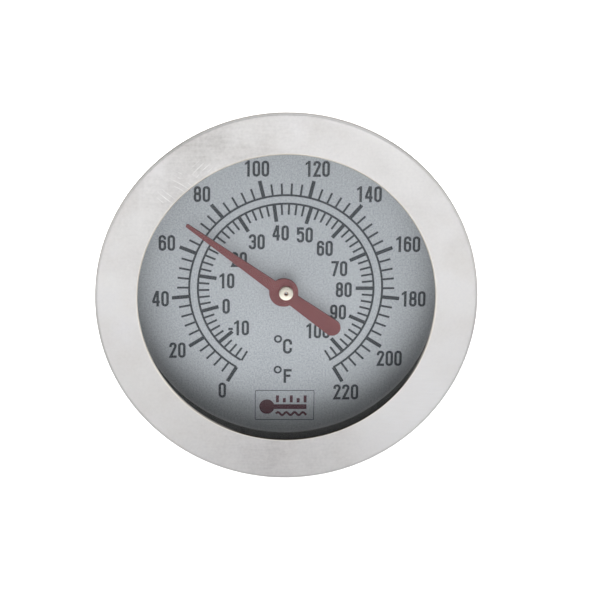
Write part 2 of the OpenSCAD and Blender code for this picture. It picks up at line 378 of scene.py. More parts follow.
def bezel_look():
    """Satin stainless ring: blotchy warm and cool polish, scuffs and a fine grain, with painted shade and a
    painted highlight.
    """
    look = Look("bezel_satin_steel", 1.0)
    fine = look.noise(1700, 3)
    warm = look.span(look.noise(125, 5), 0, 1, 0.42, 0.68)
    cool = look.span(look.noise(85, 5, look.stretched(1, 1, 1.4, 0.8)), 0, 1, 0.4, 0.68)
    streak = look.span(look.noise(1, 3, look.stretched(260, 260, 1900, 0.1)), 0, 0.35)
    base = look.blend(cool, (0.715, 0.71, 0.708), (0.69, 0.682, 0.70))
    base = look.blend(warm, base, (0.67, 0.652, 0.64))
    # Painted shade: the ring darker towards its foot, broken up by noise; also a darker upper left, a quieter
    # upper right and a brighter lower right
    foot = look.math("MULTIPLY", look.near((-2, -37), 27), look.span(look.noise(160, 4), 0.5, 1))
    base = look.blend(foot, base, (0.46, 0.447, 0.455))
    shoulder = look.math("MULTIPLY", look.near((-17, 31), 34), look.span(look.noise(200, 5), 0.4, 1))
    base = look.blend(shoulder, base, (0.40, 0.39, 0.383))
    base = look.blend(look.near((24, 28), 24), base, (0.64, 0.632, 0.63))
    base = look.blend(look.near((28, -24), 20), base, (0.79, 0.79, 0.805))
    base = look.blend(streak, base, (0.70, 0.69, 0.69))
    scratch_groups = (((-21.0, 24.5), 3.2, 1.05), ((-17.2, 27.0), 2.6, -0.75), ((-24.5, 21.5), 2.2, 0.9))
    for centre, size, turn in scratch_groups:
        base = look.blend(look.scratches(centre, size, turn), base, (0.95, 0.95, 0.94))
    base = look.blend(look.span(fine, 0, 0.3), base, (0.78, 0.77, 0.76))
    # Painted highlight: a pale line round the opening. Painted shade: a dark line on its lower lip, and a
    # dark outer rim
    far = look.from_axis()
    base = look.blend(look.ramp(far, 0.8, 0, OPENING_R + 0.2, OPENING_R + 0.45), base, (0.93, 0.87, 0.78))
    lip = look.ramp(far, 1, 0, OPENING_R + 0.16, OPENING_R + 0.26)
    lower = look.span(look.near((9, -29), 36), 0, 1, 0.1, 0.5)
    base = look.blend(look.math("MULTIPLY", lip, lower), base, (0.05, 0.045, 0.04))
    look.color(look.blend(look.ramp(far, 0, 0.75, BEZEL_R - 0.28, BEZEL_R), base, (0.28, 0.245, 0.21)))
    look.rough(look.span(warm, 0.29, 0.33, 0, 1))
    look.bump(fine, 0.08, 0.003)
    return look


def turned_steel(name, shade, roughness, grain=(9000, 2.0, 9000), depth=0.006):
    """Machined stainless: fine grain, coarser tool marks, a few dull patches and spots.

    grain counts the noise's features outward, around and lengthwise; depth is the grain's relief in mm.
    """
    look = Look(name, 1.0)
    fine = look.noise(1, 4, look.turned(*grain))
    marks = look.noise(1, 3, look.turned(*(number / 6 for number in grain)))
    patch = look.noise(90, 4)
    spots = look.span(look.noise(700, 5), 0, 0.5, 0.62, 0.74)
    bright = (shade * 1.03, shade * 1.02, shade)
    dull = (shade * 0.9, shade * 0.91, shade * 0.93)
    base = look.blend(look.span(patch, 0, 1), bright, dull)
    base = look.blend(look.span(marks, 0, 0.6), base, (shade * 0.8, shade * 0.8, shade * 0.81))
    look.color(look.blend(spots, base, (shade * 0.62, shade * 0.6, shade * 0.58)))
    uneven = look.span(patch, roughness - 0.06, roughness + 0.08)
    look.rough(look.math("ADD", uneven, look.span(fine, -0.03, 0.05)))
    look.bump(fine, 0.3, depth)
    return look


def dial_look():
    """Satin grey dial paint with a fine metallic fleck, a few dust specks and a painted highlight: a paler
    rim.
    """
    look = Look("dial_satin_grey", 0.75)
    fleck = look.noise(2900, 3)
    cloud = look.noise(60, 3)
    base = look.blend(look.span(cloud, 0, 1), (0.352, 0.372, 0.396), (0.332, 0.354, 0.38))
    base = look.blend(look.span(fleck, 0, 1, 0.36, 0.64), base, (0.465, 0.485, 0.51))
    # Painted highlight: a paler ring on the dial at the foot of the wall
    rim = look.ramp(look.from_axis(), 0, 0.35, WALL_R - 0.6, WALL_R - 0.1)
    base = look.blend(rim, base, (0.7, 0.7, 0.7))
    # Dust: a small spot in the middle of about one cell in five
    cells = look.node("ShaderNodeTexVoronoi", Vector=look.place, Scale=330.0).outputs
    pick = look.node("ShaderNodeSeparateXYZ", Vector=cells["Color"]).outputs[0]
    spot = look.span(cells["Distance"], 1, 0, 0.03, 0.06)
    dust = look.math("MULTIPLY", spot, look.math("GREATER_THAN", pick, 0.82))
    look.color(look.blend(look.math("MULTIPLY", dust, 0.6), base, (0.12, 0.13, 0.14)))
    look.rough(look.span(cloud, 0.55, 0.6))
    look.bump(fleck, 0.18, 0.004)
    return look


def ink_look(name, color):
    """Screen-printed ink: slightly uneven, matte."""
    look = Look(name)
    mottle = look.noise(900, 4)
    lighter = tuple(c * 1.35 + 0.004 for c in color)
    look.color(look.blend(look.span(mottle, 0, 1), color, lighter))
    look.rough(look.span(mottle, 0.5, 0.68))
    look.bump(mottle, 0.2, 0.004)
    return look


def pointer_look():
    """Muted red pointer paint with a fine orange-peel."""
    look = Look("pointer_red_paint")
    mottle = look.noise(420, 4)
    look.color(look.blend(look.span(mottle, 0, 1), (0.165, 0.040, 0.044), (0.138, 0.034, 0.038)))
    look.rough(look.span(mottle, 0.45, 0.6))
    look.bump(look.noise(2600, 3), 0.2, 0.004)
    return look


def bush_look():
    """Turned nickel-plated bush, a little creamy, with a brown staked ring round its hole."""
    look = Look("bush_nickel", 1.0)
    rings = look.noise(1, 3, look.turned(14000, 1.0, 9000))
    base = look.blend(look.span(look.noise(900, 3), 0, 1), (0.67, 0.63, 0.55), (0.59, 0.555, 0.48))
    staked = look.ramp(look.from_axis(), 1, 0, 0.38, 0.55)
    look.color(look.blend(staked, base, (0.30, 0.17, 0.12)))
    look.rough(look.span(rings, 0.26, 0.44))
    look.bump(rings, 0.3, 0.004)
    return look


def black_plastic_look():
    """Matte black moulding, with painted shade: nearly black under the glass, greyer towards the dial, and a
    painted highlight along its foot.
    """
    look = Look("spacer_black")
    grain = look.noise(1500, 4)
    along = look.node("ShaderNodeSeparateXYZ", Vector=look.place).outputs[1]
    # Painted shade darkens the wall under the glass; a painted highlight lightens its foot
    depth = look.ramp(along, 0, 1, LENS_Y1, DIAL_Y)
    foot = look.ramp(along, 0, 1, DIAL_Y - 0.8, DIAL_Y - 0.1)
    base = look.blend(depth, (0.012, 0.009, 0.007), (0.06, 0.06, 0.058))
    base = look.blend(foot, base, (0.16, 0.16, 0.155))
    look.color(look.blend(look.span(grain, 0, 0.3), base, (0.03, 0.03, 0.028)))
    look.rough(look.span(grain, 0.42, 0.62))
    look.bump(grain, 0.3, 0.01)
    return look


def rubber_look(name, color, roughness):
    """Moulded rubber or silicone: a soft sheen, dust and a fine surface grain."""
    look = Look(name)
    grain = look.noise(1300, 4)
    dust = look.noise(240, 5)
    pale = tuple(c * 0.82 + 0.07 for c in color)
    look.color(look.blend(look.span(dust, 0, 0.35, 0.5, 0.8), color, pale))
    look.rough(look.span(grain, roughness - 0.08, roughness + 0.1))
    look.bump(grain, 0.3, 0.012)
    return look


def brass_look():
    """Turned brass with light tarnish."""
    look = Look("turned_brass", 1.0)
    rings = look.noise(1, 3, look.turned(9000, 1.5, 9000))
    tarnish = look.noise(500, 4)
    look.color(look.blend(look.span(tarnish, 0, 1), (0.76, 0.56, 0.27), (0.52, 0.36, 0.17)))
    look.rough(look.math("ADD", look.span(tarnish, 0.26, 0.42), look.span(rings, -0.03, 0.04)))
    look.bump(rings, 0.3, 0.005)
    return look


def bimetal_look():
    """Rolled two-metal strip with straw heat tint along the turns."""
    look = Look("bimetal_strip_tint", 1.0)
    tint = look.noise(260, 4)
    look.color(look.blend(look.span(tint, 0, 1), (0.62, 0.55, 0.45), (0.45, 0.36, 0.26)))
    look.rough(look.span(look.noise(1, 3, look.turned(2000, 3.0, 7000)), 0.26, 0.44))
    look.bump(tint, 0.1, 0.004)
    return look


def glass_look():
    """Clear glass: bends what the camera sees, and lets the lamps' light straight through to the dial."""
    look = Look("lens_clear_glass")
    smear = look.noise(55, 4)
    refract = look.node("ShaderNodeBsdfRefraction", IOR=1.47, Roughness=0.0)
    refract.inputs["Color"].default_value = (0.985, 0.99, 0.99, 1)
    shine = look.node("ShaderNodeBsdfGlossy", Roughness=look.span(smear, 0.0, 0.06))
    fresnel = look.node("ShaderNodeFresnel", IOR=1.22)
    seen = look.node("ShaderNodeMixShader")
    for socket, value in zip(seen.inputs, (fresnel.outputs[0], refract.outputs[0], shine.outputs[0])):
        look.put(socket, value)
    ray = look.node("ShaderNodeLightPath").outputs
    blocked = look.math("MAXIMUM", ray["Is Shadow Ray"], ray["Is Diffuse Ray"])
    clear = look.node("ShaderNodeBsdfTransparent")
    both = look.node("ShaderNodeMixShader")
    for socket, value in zip(both.inputs, (blocked, seen.outputs[0], clear.outputs[0])):
        look.put(socket, value)
    look.put(look.output.inputs["Surface"], both.outputs[0])
    return look


# ---------------- pieces of the head

def bezel_ring():
    """Crimped front ring: rolled inner edge, flat face, small round nose, drawn-in side and crimped lip."""
    nose, hem, draw = 0.6, 0.3, 1.5
    lip_in = bore("bezel_ring", behind=FLANGE_BACK_Y + 0.05)
    lip_y = FLANGE_BACK_Y + 0.1
    tail_r = BEZEL_R - draw
    section = outline(
        (OPENING_R, BEZEL_Y0, hem),
        (BEZEL_R, BEZEL_Y0, nose),
        (BEZEL_R, BEZEL_Y0 + nose + 0.02, 0.01),
        (tail_r, BEZEL_Y1, 0.6),
        (lip_in, BEZEL_Y1, 0.3),
        (lip_in, lip_y, 0.1),
        (tail_r - SHEET, lip_y, 0.1),
        (BEZEL_R - 0.5, BEZEL_Y0 + 0.5, 0.1),
        (OPENING_R, LENS_Y0, 0.1),
    )
    return revolved("bezel_ring_pressed", section)


def lens():
    """Flat glass with ground edges."""
    return revolved("lens_glass", outline(
        (0, LENS_Y0),
        (LENS_R, LENS_Y0, 0.2),
        (LENS_R, LENS_Y1, 0.2),
        (0, LENS_Y1),
    ))


def spacer_ring():
    """Black sleeve that holds the glass off the dial and presses the dial down."""
    return revolved("spacer_sleeve", outline(
        (WALL_R, LENS_Y1, 0.15),
        (DIAL_R, LENS_Y1, 0.1),
        (DIAL_R, DIAL_Y, 0.1),
        (WALL_R, DIAL_Y, 0.12),
    ))


def dial_plate():
    """Thin dial disc with a hole for the shaft."""
    hole = bore("dial_plate")
    return revolved("dial_disc", outline(
        (hole, DIAL_Y, 0.05),
        (DIAL_R, DIAL_Y, 0.08),
        (DIAL_R, DIAL_BACK_Y, 0.08),
        (hole, DIAL_BACK_Y, 0.05),
    ))


# ---------------- print on the dial

# Radii of the two scale arcs, and those where each scale's short and long marks end
ARC_OUT_R = 19.93
ARC_IN_R = 18.14
F_MINOR_R = 22.42
F_MAJOR_R = 23.6
C_MINOR_R = 15.78
C_MAJOR_R = 14.45
ARC_W = 0.43
MINOR_W = 0.42
MAJOR_W = 0.76
# The outer scale's ends in Fahrenheit, and the degrees of turn between them
F_LOW, F_HIGH = 0, 220
SWEEP = 299.0
# Heights of the figures, and the width and thickness of the print
F_DIGIT_H = 3.36
C_DIGIT_H = 3.26
INK_W = 0.52
INK_T = 0.03

# Centres of the printed figures, from the dial's centre
F_LABELS = {
    0: (-13.06, -22.3), 20: (-22.4, -13.5), 40: (-25.9, -2.3), 60: (-24.5, 9.7),
    80: (-17.3, 20.1), 100: (-6.1, 25.5), 120: (6.26, 25.5), 140: (16.9, 20.2),
    160: (25.1, 9.6), 180: (26.5, -2.2), 200: (21.75, -15.2), 220: (12.8, -22.65),
}
C_LABELS = {
    -10: (-9.7, -8.6), 0: (-12.3, -3.9), 10: (-12.15, 1.6), 20: (-9.7, 6.2),
    30: (-6.05, 10.0), 40: (-1.2, 11.9), 50: (3.8, 11.5), 60: (7.95, 8.65),
    70: (11.0, 4.3), 80: (12.0, -0.25), 90: (10.9, -5.1), 100: (6.8, -9.2),
}


def scale_angle(f):
    """Direction of a Fahrenheit reading: degrees clockwise from straight down."""
    return 180 + (f - (F_LOW + F_HIGH) / 2) * SWEEP / (F_HIGH - F_LOW)


def on_dial(radius, clockwise):
    """The (x, z) place at a radius, degrees clockwise from straight down."""
    a = math.radians(clockwise)
    return (-radius * math.sin(a), -radius * math.cos(a))


def tick(f, r_from, r_to, width):
    """Scale mark at a Fahrenheit reading."""
    turn = scale_angle(f)
    return stroke([on_dial(r_from, turn), on_dial(r_to, turn)], width)


def arc_line(radius):
    """One of the scale's two arcs, reaching the outer sides of its end marks."""
    ends = scale_angle(F_LOW), scale_angle(F_HIGH)
    steps = 150
    path = [on_dial(radius, ends[0] + (ends[1] - ends[0]) * k / steps) for k in range(steps + 1)]
    return stroke(path, ARC_W)


def stadium(left, right, low, high):
    """Closed upright path with round ends that fills a box."""
    r = (right - left) / 2
    return round_points((left + r, high - r), r, 0, 180) + round_points((left + r, low + r), r, 180, 360)


def glyph(name, high):
    """(flat shapes, width) of one condensed figure or unit letter, its lower left at the origin."""
    w = INK_W
    e = w / 2
    wide = 0.465 * high
    left, right, low, top = e, wide - e, e, high - e
    r = (right - left) / 2
    mid = high * 0.52
    if name == "0":
        return stroke(stadium(left, right, low, top), w, True), wide
    if name == "1":
        stem = 1.02
        flag = [(stem - 0.3, high), (stem - 0.3, high - 0.55), (0.0, high - 0.95), (0.0, high - 0.48)]
        return stroke([(stem - e, 0), (stem - e, high)], w) + [flag], stem + 0.28
    if name == "2":
        bowl = round_points((left + r, top - r), r, 180, -18)
        foot = [(left + 0.04, low), (wide - 0.02, low)]
        return stroke([(left, top - r - 0.22)] + bowl + foot, w), wide
    if name == "3":
        waist = 0.36
        upper = [(left, top - r - 0.12)] + round_points((left + r, top - r), r, 180, 0)
        upper += round_points((right - waist, mid + waist), waist, 0, -90)
        lower = round_points((right - waist, mid - waist), waist, 90, 0)
        lower += round_points((left + r, low + r), r, 0, -180) + [(left, low + r + 0.12)]
        bar = stroke([(left + 0.3, mid), (right - 0.3, mid)], w)
        return stroke(upper, w) + stroke(lower, w) + bar, wide
    if name == "4":
        stem = right - 0.1
        bar_y = 0.72 + e
        slope = stroke([(stem - 0.12, high - 0.02), (e - 0.02, bar_y)], w * 0.95)
        bar = stroke([(e - 0.14, bar_y), (wide + 0.08, bar_y)], w)
        return slope + bar + stroke([(stem, 0), (stem, high)], w), wide + 0.12
    if name == "5":
        neck = high * 0.56
        bowl = round_points((left + r, neck + e - r + 0.1), r, 140, 0)
        bowl += round_points((left + r, low + r), r, 0, -180) + [(left, low + r + 0.14)]
        top_bar = stroke([(wide - 0.06, top), (left + 0.02, top), (left + 0.02, neck - 0.16)], w)
        return top_bar + stroke(bowl, w), wide
    if name in ("6", "9"):
        bowl_top = high * 0.6
        ring = stroke(stadium(left, right, low, bowl_top), w, True)
        hook = [(right, top - r - 0.2)] + round_points((left + r, top - r), r, 0, 180) + [(left, low + r)]
        shapes = ring + stroke(hook, w)
        if name == "9":
            shapes = [[(wide - x, high - z) for x, z in shape] for shape in shapes]
        return shapes, wide
    if name == "7":
        return stroke([(0, top), (right + 0.02, top), (left + 0.24, 0)], w), wide
    if name == "8":
        upper = stroke(stadium(left + 0.04, right - 0.04, mid - 0.03, top), w, True)
        return upper + stroke(stadium(left, right, low, mid + 0.03), w, True), wide
    if name == "-":
        return stroke([(0, high * 0.43), (0.95, high * 0.43)], w * 0.9), 0.95
    if name == "C":
        w_c = 0.58 * high
        r = (w_c - w) / 2
        path = [(w_c - e, top - r - 0.3)] + round_points((w_c / 2, top - r), r, 0, 180)
        path += round_points((w_c / 2, low + r), r, 180, 360) + [(w_c - e, low + r + 0.3)]
        return stroke(path, w), w_c
    # What is left is the letter F
    arm, short_arm = 1.68, 1.42
    bars = stroke([(0, top), (arm, top)], w) + stroke([(0, mid), (short_arm, mid)], w)
    return bars + stroke([(e, 0), (e, high)], w), arm


def label(text, centre, high, gap=0.27):
    """Flat shapes of a row of figures about a centre."""
    made = [glyph(c, high) for c in text]
    total = sum(wide for _, wide in made) + gap * (len(made) - 1)
    x = centre[0] - total / 2
    shapes = []
    for figure, wide in made:
        shapes += [[(px + x, pz + centre[1] - high / 2) for px, pz in shape] for shape in figure]
        x += wide + gap
    return shapes


def degree_ring(centre):
    """The small ring before a unit letter."""
    return stroke(round_points(centre, 0.66, 0, 360)[:-1], 0.38, True)


def printed(name, shapes):
    """Thin raised layer of ink on the dial."""
    return flat_solid(name, shapes, DIAL_Y - INK_T, DIAL_Y + INK_T / 2)


def scale_print():
    """All the dark print of both scales, as one thin raised layer."""
    shapes = arc_line(ARC_OUT_R) + arc_line(ARC_IN_R)
    # A mark every 4 F, long every 20 F; inside, a mark every 2 C, long every 10 C
    for f in range(F_LOW, F_HIGH + 1, 4):
        major = f % 20 == 0
        shapes += tick(f, ARC_OUT_R, F_MAJOR_R if major else F_MINOR_R, MAJOR_W if major else MINOR_W)
    for c in range(-18, 105, 2):
        major = c % 10 == 0
        f = c * 1.8 + 32
        shapes += tick(f, ARC_IN_R, C_MAJOR_R if major else C_MINOR_R, MAJOR_W if major else MINOR_W)
    for value, centre in F_LABELS.items():
        shapes += label(str(value), centre, F_DIGIT_H)
    for value, centre in C_LABELS.items():
        shapes += label(str(value), centre, C_DIGIT_H)
    shapes += degree_ring((-1.5, -11.0)) + label("C", (0.5, -12.6), 3.25)
    shapes += degree_ring((-1.5, -17.75)) + label("F", (0.58, -19.15), 3.05)
    return printed("scale_print", shapes)


# Height of the sign's centre on the dial, and the size of its frame
MARK_Z = -25.6
MARK_W, MARK_H = 12.3, 6.5


def mark_frame():
    """Thin rounded frame low on the dial."""
    half_w, half_h, r = MARK_W / 2, MARK_H / 2, 0.22
    path = []
    for sx, sz, start in ((1, 1, 0), (-1, 1, 90), (-1, -1, 180), (1, -1, 270)):
        corner = (sx * (half_w - r), MARK_Z + sz * (half_h - r))
        path += round_points(corner, r, start, start + 90, 18)
    return printed("mark_frame_print", stroke(path, 0.13, True))


def mark_symbol():
    """Plain letterless sign in the frame: a bulb thermometer on its side, scale marks and a ripple."""
    stem_z = MARK_Z - 0.35
    stem = stroke([(-3.9, stem_z), (4.6, stem_z)], 1.05)
    bulb = round_points((-3.7, stem_z), 1.6, 0, 345, 15)
    shapes = stem + [bulb]
    for k in range(5):
        x = -1.5 + 1.45 * k
        mark_top = 2.5 if k % 2 == 0 else 1.9
        shapes += stroke([(x, stem_z + 0.95), (x, stem_z + mark_top)], 0.62)
    ripple = [(-1.8 + 0.2 * k, stem_z - 1.55 + 0.32 * math.sin(k * 0.72)) for k in range(33)]
    shapes += stroke(ripple, 0.46)
    return printed("mark_symbol_print", shapes)


# ---------------- pointer

def pointer_tip():
    """The (x, z) place of the CAD pointer's tip, in mm."""
    tip = max(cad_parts["pointer"].data.vertices, key=lambda v: math.hypot(v.co.x, v.co.z)).co
    return Vector((tip.x, tip.z)) / MM


def pointer():
    """Red plate: a thin blade, an eye and a tail with a round end. The plate sits a little off its shaft."""
    tip = pointer_tip()
    # Drawn along +X first: the plate's shift, then how far its eye and its blade sit to one side
    shift, eye_side, blade_side = 0.38, 0.3, 0.46
    blade, tip_r, blade_root = 24.6, 0.375, 1.25
    tail, tail_r, tail_root = 12.6, 1.72, 1.2
    eye_r, hole = 3.0, bore("pointer")
    turn = math.atan2(tip.y, tip.x) - math.atan2(blade_side, blade + shift)
    front = [(0, blade_root)] + round_points((blade - tip_r, 0), tip_r, 90, -90, 15) + [(0, -blade_root)]
    back = [(0, tail_root)] + round_points((-tail, 0), tail_r, 90, 270, 8) + [(0, -tail_root)]
    disc = round_points((shift, eye_side), eye_r, 0, 360, 5)[:-1]
    rim = round_points((0, 0), hole, 0, 360, 10)[:-1]
    flat = [[(x + shift, y + blade_side) for x, y in shape] for shape in (front, back)] + [disc, rim]
    shapes = [[(x * math.cos(turn) - y * math.sin(turn), x * math.sin(turn) + y * math.cos(turn))
               for x, y in shape] for shape in flat]
    piece = flat_solid("pointer_plate", shapes, POINTER_Y, POINTER_BACK_Y, hole_r=hole)
    edge = piece.modifiers.new("softened_edges", "BEVEL")
    edge.width = 0.05 * MM
    edge.segments = 2
    edge.limit_method = "ANGLE"
    edge.angle_limit = math.radians(50)
    # The bevel comes before the even shading
    piece.modifiers.move(1, 0)
    return piece


def pointer_bush():
    """Turned bush: a shallow domed cap with a drilled centre, and a collar through the plate."""
    hole = bore("pointer_bush")
    collar, shaft = 0.95, 0.62
    return revolved("pointer_bush_turned", outline(
        (hole, BUSH_Y, 0.05),
        (BUSH_R * 0.6, BUSH_Y),
        (BUSH_R, BUSH_Y + 0.12, 0.12),
        (BUSH_R, POINTER_Y, 0.03),
        (collar, POINTER_Y),
        (collar, BUSH_FOOT_Y, 0.06),
        (shaft, BUSH_FOOT_Y),
        (shaft, BUSH_Y + 0.5),
        (hole, BUSH_Y + 0.3),
    ), even_angles(FINE_ROUND_STEPS))


# ---------------- body behind the dial

def case_cup():
    """Drawn cup with a flange and a round back corner."""
    neck = bore("case_cup")
    inner = DRUM_R - CASE_SHEET
    return revolved("case_cup_drawn", outline(
        (inner, FLANGE_Y, 0.3),
        (FLANGE_R, FLANGE_Y, 0.1),
        (FLANGE_R, FLANGE_BACK_Y, 0.1),
        (DRUM_R, FLANGE_BACK_Y, 0.25),
        (DRUM_R, CASE_BACK_Y, 1.6),
        (neck, CASE_BACK_Y, 0.1),
        (neck, FLOOR_Y, 0.1),
        (inner, FLOOR_Y, 0.9),
    ))


def hexagon_radius(angle, flats, corner):
    """Distance from a hexagon's centre to its side at an angle, with rounded corners."""
    apothem = flats / 2
    centre = (apothem - corner) / math.cos(math.pi / 6)
    phi = abs((angle + math.pi / 6) % (math.pi / 3) - math.pi / 6)
    limit = math.atan2(corner * 0.5, centre + corner * math.cos(math.pi / 6))
    if phi < limit:
        return centre * math.cos(phi) + math.sqrt(corner ** 2 - (centre * math.sin(phi)) ** 2)
    return apothem / math.cos(math.pi / 6 - phi)


def hexagon_angles():
    """Angles for a hexagonal piece: even steps, and close ones at the six corners."""
    close = [math.radians(d) for d in (-1.6, -1.1, -0.7, -0.35, 0, 0.35, 0.7, 1.1, 1.6)]
    corners = [k * math.pi / 3 + c for k in range(6) for c in close]
    clear = math.radians(0.5)
    even = [a for a in even_angles(180) if min(abs(a - c) for c in corners + [TAU]) > clear]
    return sorted(a % TAU for a in even + corners)


def chamfered(angle, flats, y0, y1):
    """Outer section of a hexagon with 30 degree chamfers at both ends, each edge a little softened."""
    chamfer, slope, corner, soft = 1.1, 0.577, 0.35, 0.03
    r = hexagon_radius(angle, flats, corner)
    face_r = min(r, flats / math.sqrt(3) - chamfer)
    drop = (r - face_r) * slope
    edge = face_r - 0.12
    return [(edge, y0), (face_r, y0 + 0.04), (r - soft, y0 + drop + 0.1), (r, y0 + drop + 0.2),
            (r, y1 - drop - 0.2), (r - soft, y1 - drop - 0.1), (face_r, y1 - 0.04), (edge, y1)]


def thread_height(angle, y):
    """Profile of a right-handed pipe thread at a place, from 0 at its root to 1 at its crest."""
    crest_half, root_half = 0.12, 0.15
    along = ((y - SHOULDER_Y) / PIPE_PITCH + angle / TAU) % 1.0
    from_crest = abs(along - 0.5) * PIPE_PITCH
    foot = PIPE_PITCH / 2 - root_half
    return min(1.0, max(0.0, (foot - from_crest) / (foot - crest_half)))


def threaded_fitting():
    """One turned piece: rivet, neck, hexagon and tapered pipe thread, with the probe's bore through it."""
    rivet_y, end_y, _ = reach("threaded_fitting")
    inside = bore("threaded_fitting")
    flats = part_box("threaded_fitting")[1].z / MM * 2
    hex_y = SHOULDER_Y - HEX_LENGTH
    rivet_r, neck_r = 9.4, 8.0
    crest, taper, depth = 10.67, 1 / 32, 1.3
    # The bare relief behind the shoulder, then the thread, fading in over a short length
    thread_y = SHOULDER_Y + 3.2
    fade_in = 0.7
    rows = 250

    def section(angle):
        points = outline((inside, rivet_y), (rivet_r, rivet_y, 0.4), (rivet_r, FLOOR_Y), (neck_r, FLOOR_Y),
                         (neck_r, hex_y))
        points += chamfered(angle, flats, hex_y, SHOULDER_Y)
        points += [(crest - depth, SHOULDER_Y), (crest - depth, thread_y)]
        for k in range(rows + 1):
            y = thread_y + (end_y - thread_y) * k / rows
            root = crest - (y - SHOULDER_Y) * taper - depth
            fade = min(1.0, (y - thread_y) / fade_in)
            end_chamfer = 0.2 + (end_y - y) * 1.2
            points.append((root + min(depth * thread_height(angle, y) * fade, end_chamfer), y))
        return points + [(inside + 0.5, end_y), (inside, end_y - 0.5)]

    return revolved("threaded_fitting_turned", section, hexagon_angles(), THREAD_SHARP_ANGLE)


def lock_nut():
    """Lock nut with chamfered ends and a matching right-handed thread, cut clear of the spigot's flanks."""
    y0, y1, _ = reach("lock_nut")
    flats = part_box("lock_nut")[1].z / MM * 2
    root = bore("lock_nut")
    depth = 1.0
    flank_gap = 0.45
    rows = 70

    def section(angle):
        points = chamfered(angle, flats, y0, y1)
        for k in range(rows + 1):
            y = y1 - (y1 - y0) * k / rows
            tooth = max(0.0, (1 - thread_height(angle, y) - flank_gap) / (1 - flank_gap))
            countersink = max(0.0, 0.9 - min(y - y0, y1 - y) * 1.3) * 1.4
            points.append((max(root - depth * tooth, root - depth + countersink), y))
        return points

    return revolved("lock_nut_threaded", section, hexagon_angles(), THREAD_SHARP_ANGLE)


def flat_washer():
    """Stamped washer: one edge rolled over, the other crisp."""
    y0, y1, r = reach("flat_washer")
    inside = bore("flat_washer")
    return revolved("flat_washer_stamped", outline(
        (inside, y0, 0.3),
        (r, y0, 0.35),
        (r, y1, 0.1),
        (inside, y1, 0.1),
    ))


def seal_ring():
    """Silicone ring, pressed a little flat where it meets the shoulder, with a fine parting line."""
    y0, y1, r = reach("seal_ring")
    wire = (y1 - y0) / 2
    ridge, flat, around = 0.04, 0.03, 40
    section = []
    for k in range(around):
        a = TAU * k / around
        across = wire if k % (around // 2) == 0 else wire - ridge
        y = y0 + wire + (wire - 0.002) * math.sin(a)
        section.append((r - wire + across * math.cos(a), max(y, y0 + flat)))
    return revolved("seal_ring_moulded", section)


def probe_tube():
    """Drawn tube of the probe, its inner edge broken."""
    y0, y1, r = reach("probe_tube")
    inside = bore("probe_tube")
    return revolved("probe_tube_drawn", outline(
        (inside, y0, 0.06),
        (r, y0, 0.1),
        (r, y1, 0.04),
        (inside, y1, 0.04),
    ), even_angles(FINE_ROUND_STEPS))


def probe_tip():
    """Domed end cap whose plug sits in the tube, with a fine weld line where they meet."""
    y0, y1, r = reach("probe_tip")
    seam = reach("probe_tube")[1]
    plug = bore("probe_tube") - 0.02
    dome = y1 - seam - 0.2
    return revolved("probe_tip_domed", outline(
        (0, y0),
        (plug, y0, 0.1),
        (plug, seam),
        (r - 0.02, seam, 0.02),
        (r, seam + 0.12, 0.05),
        (r, y1, dome),
        (0, y1),
    ), even_angles(FINE_ROUND_STEPS))


def bimetal_coil():
    """Wound strip that twists between the still anchor and the turning collar."""
    y0, y1, r = reach("bimetal_coil")
    inside = bore("bimetal_coil")
    turns, strip, edge, per_turn = 9, 2.6, 0.04, 48
    pitch = (y1 - y0) / turns
    steps = int((y1 - y0 - strip) / pitch * per_turn)
    corners = [(inside, edge), (inside + edge, 0), (r - edge, 0), (r, edge),
               (r, strip - edge), (r - edge, strip), (inside + edge, strip), (inside, strip - edge)]
    verts, faces = [], []
    for k in range(steps + 1):
        a = TAU * k / per_turn
        rise = y0 + pitch * k / per_turn
        verts += [(cr * math.cos(a), rise + cy, cr * math.sin(a)) for cr, cy in corners]
    wide = len(corners)
    for k in range(steps):
        for i in range(wide):
            j = (i + 1) % wide
            faces.append((k * wide + i, k * wide + j, (k + 1) * wide + j, (k + 1) * wide + i))
    faces.append(tuple(range(wide)))
    faces.append(tuple(steps * wide + i for i in range(wide)))
    return solid("bimetal_coil_wound", verts, faces)


# ---------------- stage, light and camera

# Strength of the surround at the horizon and overhead
SKY_LOW = 0.75
SKY_HIGH = 0.65
# The middle of the dial's side of the object, where the lamps point
AIM = (0, -30, 0)
# The pieces that the low lamps light through the glass, and those that the second casts no shadow of
BEHIND_GLASS = ("dial_disc", "scale_print", "mark_frame_print", "mark_symbol_print", "pointer_plate",
                "pointer_bush_turned", "spacer_sleeve")
POINTER_PIECES = ("pointer_plate", "pointer_bush_turned")


def floor_look():
    """Plain pale floor with a very faint paper grain."""
    look = Look("stage_floor")
    grain = look.noise(300, 3)
    look.color(look.blend(look.span(grain, 0, 1), (0.9, 0.9, 0.9), (0.885, 0.885, 0.885)))
    look.rough(0.9)
    look.surface.inputs["Specular IOR Level"].default_value = 0.0
    return look


def stage_floor():
    """Wide floor, well below the ring."""
    drop, half = 280 * MM, 12.0
    z = CAD_BOX[0].z - drop
    corners = [(-half, -half, z), (half, -half, z), (half, half, z), (-half, half, z)]
    mesh = bpy.data.meshes.new("stage_floor")
    mesh.from_pydata(corners, [], [(0, 1, 2, 3)])
    floor = bpy.data.objects.new("stage_floor", mesh)
    bpy.context.scene.collection.objects.link(floor)
    dress(floor, floor_look())


def softbox(name, place, size, power, target, spread=180):
    """Area light at a place in mm, width by height, facing a target; spread narrows it like a grid."""
    data = bpy.data.lights.new(name, "AREA")
    data.energy = power
    data.shape = "RECTANGLE"
    data.size, data.size_y = (length * MM for length in size)
    data.spread = math.radians(spread)
    lamp = bpy.data.objects.new(name, data)
    lamp.location = Vector(place) * MM
    lamp.rotation_euler = (Vector(target) * MM - lamp.location).to_track_quat("-Z", "Y").to_euler()
    lamp.visible_camera = False
    bpy.context.scene.collection.objects.link(lamp)
    return lamp


